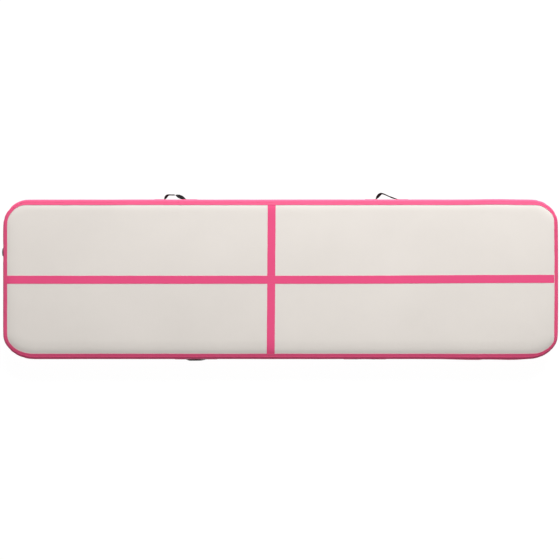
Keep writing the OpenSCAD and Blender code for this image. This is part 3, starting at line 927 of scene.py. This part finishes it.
REAR_LEFT = mm([
    (-70.5, 3, 0, 12), (-67.5, 9, 0, 28), (-61.5, 17.8, 0, 37), (-53, 25.8, 0, 28), (-42, 29.2, 0, 14),
    (-26, 28.8, 0, 12), (-9, 28.8, 0, 9), (4, 27.0, 0, -24), (15, 22.4, 0.5, -56), (27, 17.4, 0.5, -74),
    (39, 12.2, 0.5, -68), (50, 6.9, 0, -40), (61, 2.6, 0, -12)])
REAR_RIGHT = mm([
    (-67.0, 3, 0, 10), (-62.0, 9.6, 0, 28), (-55, 18.9, 0.5, 46), (-46.5, 28.0, 0.5, 48), (-37, 35.2, 0, 34),
    (-26.5, 36.9, 0, 16), (-15.5, 33.8, 0, 12), (-4, 28.9, 0, 10), (8, 23.3, 0, 9), (20, 18.0, 0, 9),
    (32, 13.1, 0, 14), (44, 8.8, 0, 12), (56, 5.0, 0, 7), (66, 1.9, 0, 2)])
FRONT_LEFT = mm([
    (-64, 0.6, 0, 0), (-56, 2.6, -1, -9), (-46, 4.6, -3, -19), (-34, 5.4, -5, -23), (-18, 5.5, -6.5, -23),
    (0, 5.5, -7, -23), (18, 5.4, -6.5, -22), (34, 4.9, -5, -19), (46, 3.6, -3, -13), (56, 1.8, -1, -5),
    (64, 0.5, 0, 0)])
FRONT_RIGHT = mm([
    (-64, 0.3, 0, 0), (-57, 0.6, -2, -1), (-48, 0.9, -6, -2), (-36, 1.0, -11, -3), (-18, 1.0, -15, -4),
    (0, 1.0, -16.5, -4), (18, 1.0, -15, -4), (36, 1.0, -11, -3), (48, 0.9, -6, -2), (57, 0.6, -2, -1),
    (64, 0.3, 0, 0)])

LOOPS = {"rear_left": (1, REAR_LEFT), "rear_right": (1, REAR_RIGHT),
         "front_left": (-1, FRONT_LEFT), "front_right": (-1, FRONT_RIGHT)}
UNDER_PATCH = 0.003
JOINT = {j["child"]: j for j in frame["joints"]}
for name, (sign, loop) in LOOPS.items():
    body = name + "_loop"
    x0 = JOINT[body]["pos_m"][0]
    lo_a, hi_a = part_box(name + "_patch_a")
    lo_b, hi_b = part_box(name + "_patch_b")
    strap(name + "_webbing", x0, sign, x0 - hi_a.x - UNDER_PATCH, lo_b.x - x0 - UNDER_PATCH, loop,
          [name + "_strap", name + "_tails"])
    strap_patch(name + "_weld_a", (lo_a.x + hi_a.x) / 2, sign, -1, name + "_patch_a")
    strap_patch(name + "_weld_b", (lo_b.x + hi_b.x) / 2, sign, 1, name + "_patch_b")


# ---- patch over the side strip's joint, and the valve's patch ----

def end_place(sign, y0):
    def place(p, q, h):
        return wall_point(sign * HX, y0 + p, sign, 0, MID_Z + q, FACE + h)
    return place


def joint_height(p, q, inset):
    """One end of the side strip lies over the other, so half of the patch stands higher."""
    step = STRIP * float(smooth(-0.002, 0.001, p)) * float(smooth(0.0, 0.006, inset))
    return STRIP + step + border(inset)


def valve_patch_height(p, q, inset):
    return STRIP + border(inset)


joint_patch = patch("joint_patch", end_place(1, 0.0), 0.030, 0.029, 0.006, joint_height)
hold(joint_patch, "mat", "side_pvc", "wall_joint_cover")
valve_mount = patch("valve_mount_patch", end_place(-1, VALVE.y), 0.055, 0.029, 0.012, valve_patch_height,
                    hole=0.0182)
hold(valve_mount, "mat", "side_pvc", "valve_patch")


# ---- valve cap ----

def lathe(name, profile, material, turn=None, count=192):
    """profile: (radius, distance out of the wall), closed on the axis; turn changes a radius by angle."""
    verts, uvs = [], []
    for i in range(count):
        t = 2 * math.pi * i / count
        for k, (r, w) in enumerate(profile):
            turned = r if turn is None else turn(r, w, t)
            verts.append((VALVE.x - w, VALVE.y + turned * math.cos(t), VALVE.z + turned * math.sin(t)))
            uvs.append((t * 0.02, k * 0.001))
    o = make(name, verts, grid_faces(count, len(profile), loop_u=True), material, uvs)
    weld = o.modifiers.new("weld", "WELD")
    weld.merge_threshold = 0.00001
    return o


def soft_corners(points, r, n=5):
    """Rounds each corner of an open profile by a short curve that starts and ends about r from it."""
    out = [points[0]]
    for a, b, c in zip(points, points[1:], points[2:]):
        a, b, c = map(np.array, (a, b, c))
        d1, d2 = np.linalg.norm(a - b), np.linalg.norm(c - b)
        k = min(r, d1 * 0.45, d2 * 0.45)
        p, q = b + (a - b) / d1 * k, b + (c - b) / d2 * k
        for t in np.linspace(0, 1, n):
            out.append(tuple((1 - t) ** 2 * p + 2 * t * (1 - t) * b + t * t * q))
    out.append(points[-1])
    return out


cap_low, cap_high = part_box("valve_cap")
cap_in = VALVE.x - cap_high.x
cap_out = VALVE.x - cap_low.x
cap_r = (cap_high.z - cap_low.z) / 2
lip = cap_in + 0.00185
dome = [(0.0, cap_out - 0.0016), (0.0165, cap_out - 0.0016), (0.0220, cap_out - 0.0022),
        (cap_r, cap_out - 0.0034), (cap_r, lip), (0.0235, lip), (0.0235, cap_in), (0.0215, cap_in),
        (0.0215, cap_in + 0.00345), (0.0, cap_in + 0.00345)]


def ribs(r, w, t):
    """24 finger grooves round the cap's rim."""
    if r < 0.0238 or w < lip + 0.0002:
        return r
    return r - 0.00055 * (0.5 + 0.5 * math.cos(24 * t)) ** 3


cap_shell = lathe("cap_shell", soft_corners(dome, 0.0009), M_VALVE, ribs)
hold(cap_shell, "cap", "valve_plastic", "valve_cap")


def finger_bar(name):
    """A rounded bar across the cap's head, waisted in the middle."""
    verts, uvs = [], []
    n, m = 33, 20
    for i in range(n):
        s = -1 + 2 * i / (n - 1)
        end = (1 - abs(s) ** 7) ** (1 / 7) if abs(s) < 1 else 0.0
        half = (0.0017 + 0.0009 * s * s) * max(end, 0.05)
        for j in range(m):
            a = 2 * math.pi * j / m
            y = half * math.copysign(abs(math.cos(a)) ** 0.5, math.cos(a))
            h = 0.0011 * max(end, 0.05) * math.copysign(abs(math.sin(a)) ** 0.6, math.sin(a))
            verts.append((VALVE.x - (cap_out - 0.0013) - h, VALVE.y + y, VALVE.z + 0.0185 * s))
            uvs.append((s * 0.02, a * 0.001))
    faces = grid_faces(n, m, loop_v=True)
    faces += [tuple(reversed(range(m))), tuple(range((n - 1) * m, n * m))]
    return make(name, verts, faces, M_VALVE, uvs)


hold(finger_bar("cap_finger_bar"), "cap", "valve_plastic", "valve_cap")

flange_r, flange_w = 0.0285, 0.0051
rim = [(0.0274, 0.0042), (0.0274, flange_w - 0.00005), (0.0278, flange_w + 0.0001),
       (flange_r + 0.0002, flange_w + 0.0001), (flange_r + 0.0003, flange_w - 0.0012),
       (flange_r + 0.0003, 0.0023), (flange_r - 0.0004, 0.0022)]
hold(lathe("valve_flange_rim", soft_corners(rim, 0.0008), M_VALVE), "mat", "valve_plastic")


# ---- spring ----

spring_cad = frame["nodes"]["valve_spring"]
spring = bpy.data.objects.new("spring_coil", spring_cad.data.copy())
bpy.context.scene.collection.objects.link(spring)
spring.data.materials.clear()
spring.data.materials.append(M_STEEL)
hold(spring, "mat", "spring_steel", "valve_spring")
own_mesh(spring)


# ---- CAD pieces that keep their shape ----

KEEP = {
    "drop_stitch_threads": M_YARN, "valve_gasket": M_SEAL, "valve_body": M_VALVE, "valve_nut": M_VALVE,
    "valve_diaphragm": M_SEAL, "valve_stem": M_VALVE, "stem_retainer": M_VALVE,
    "cap_leash": M_VALVE, "cap_seal": M_SEAL,
}
for n, material in KEEP.items():
    o = frame["nodes"][n]
    o.data.materials.clear()
    o.data.materials.append(material)


# ---- stage, light and camera ----

floor_look, floor_tree, floor_shader = new_material("pale_floor")
speck = noise_tex(floor_tree, coords(floor_tree, "Object", (1, 1, 1)), 1.5, 2.0)
floor_tone = ramp(floor_tree, speck, (0.045, 0.045, 0.045), (0.055, 0.055, 0.055))
floor_tree.links.new(floor_tone, floor_shader.inputs["Base Color"])
floor_shader.inputs["Roughness"].default_value = 0.9
floor_shader.inputs["Emission Color"].default_value = (1, 1, 1, 1)
floor_shader.inputs["Emission Strength"].default_value = 0.972
FLOOR = 400
floor = make("floor", [(x * FLOOR, y * FLOOR, -0.0004) for x, y in ((-1, -1), (1, -1), (1, 1), (-1, 1))],
             [(0, 1, 2, 3)], floor_look, flat=True)

world = bpy.data.worlds.new("studio")
bpy.context.scene.world = world
world.use_nodes = True
world.node_tree.nodes["Background"].inputs[0].default_value = (1.0, 1.0, 1.0, 1)
world.node_tree.nodes["Background"].inputs[1].default_value = 0.087


def softbox(name, at, aim, size, power):
    light = bpy.data.lights.new(name, "AREA")
    light.shape = "RECTANGLE"
    light.size, light.size_y = size
    light.energy = power
    o = bpy.data.objects.new(name, light)
    o.location = at
    o.rotation_euler = (Vector(aim) - Vector(at)).to_track_quat("-Z", "Y").to_euler()
    bpy.context.scene.collection.objects.link(o)


softbox("key", (1.5, 8.0, 4.5), (0, 0, 0), (8.0, 1.4), 1460)
softbox("overhead", (0, 0, 8.0), (0, 0.001, 0), (5.0, 1.4), 138)

# The camera looks straight down. VIEW_WIDTH is how much it sees across, at the height of the mat's edge.
CAMERA_Z = 11.0
EDGE_Z = 0.09
VIEW_WIDTH = 3.539
SENSOR = 36
camera = bpy.data.objects.new("camera", bpy.data.cameras.new("camera"))
bpy.context.scene.collection.objects.link(camera)
camera.location = (-0.0025, -0.0044, CAMERA_Z)
camera.rotation_euler = (0, 0, 0)
camera.data.sensor_width = SENSOR
camera.data.lens = SENSOR * (CAMERA_Z - EDGE_Z) / VIEW_WIDTH
camera.data.clip_end = 3 * FLOOR
bpy.context.scene.camera = camera
bpy.context.scene.view_settings.view_transform = "Standard"
